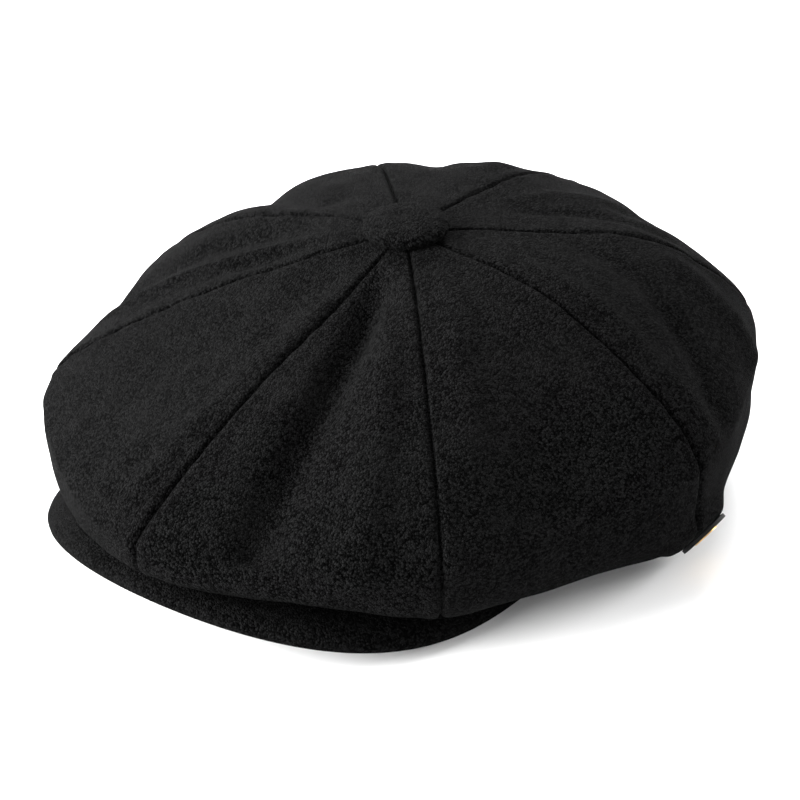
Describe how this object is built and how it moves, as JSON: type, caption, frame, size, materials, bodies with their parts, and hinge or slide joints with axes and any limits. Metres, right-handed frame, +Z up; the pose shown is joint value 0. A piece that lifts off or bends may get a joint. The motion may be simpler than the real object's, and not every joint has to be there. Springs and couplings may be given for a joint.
{
  "type": "newsboy cap",
  "caption": "Soft full-crowned cap with wool panels gathered to a covered top button, a short stiff arched visor and an inner sweatband.",
  "frame": {"origin": "centre of the head opening, on the surface that the cap stands on", "axes": "+Z up through the crown, the visor towards -Y, the wearer's left towards +X"},
  "size_m": [0.2722, 0.2875, 0.1088],
  "materials": {
    "wool": "matte melton wool",
    "lining": "satin weave",
    "sweatband": "ribbed grosgrain",
    "tape": "stiff woven tape",
    "label": "bare woven satin",
    "size_tab": "bare woven tape",
    "board": "plain",
    "button_metal": "stamped",
    "badge_metal": "polished",
    "badge_enamel": "gloss",
    "badge_gold": "satin"
  },
  "bodies": {
    "root": {"left_front_panel": "wool", "left_front_side_panel": "wool", "left_rear_side_panel": "wool", "left_rear_panel": "wool", "right_rear_panel": "wool", "right_rear_side_panel": "wool", "right_front_side_panel": "wool", "right_front_panel": "wool", "left_front_lining": "lining", "left_front_side_lining": "lining", "left_rear_side_lining": "lining", "left_rear_lining": "lining", "right_rear_lining": "lining", "right_rear_side_lining": "lining", "right_front_side_lining": "lining", "right_front_lining": "lining", "sweatband": "sweatband", "band_tape": "tape", "size_tab": "size_tab", "crown_label": "label", "visor_top_cover": "wool", "visor_under_cover": "wool", "visor_board": "board", "button_cover": "wool", "button_shell": "button_metal", "button_back_plate": "button_metal", "button_rivet": "button_metal", "button_washer": "button_metal", "badge_plate": "badge_metal", "badge_enamel": "badge_enamel", "badge_disc": "badge_gold", "badge_clutches": "badge_gold"}
  },
  "joints": []
}
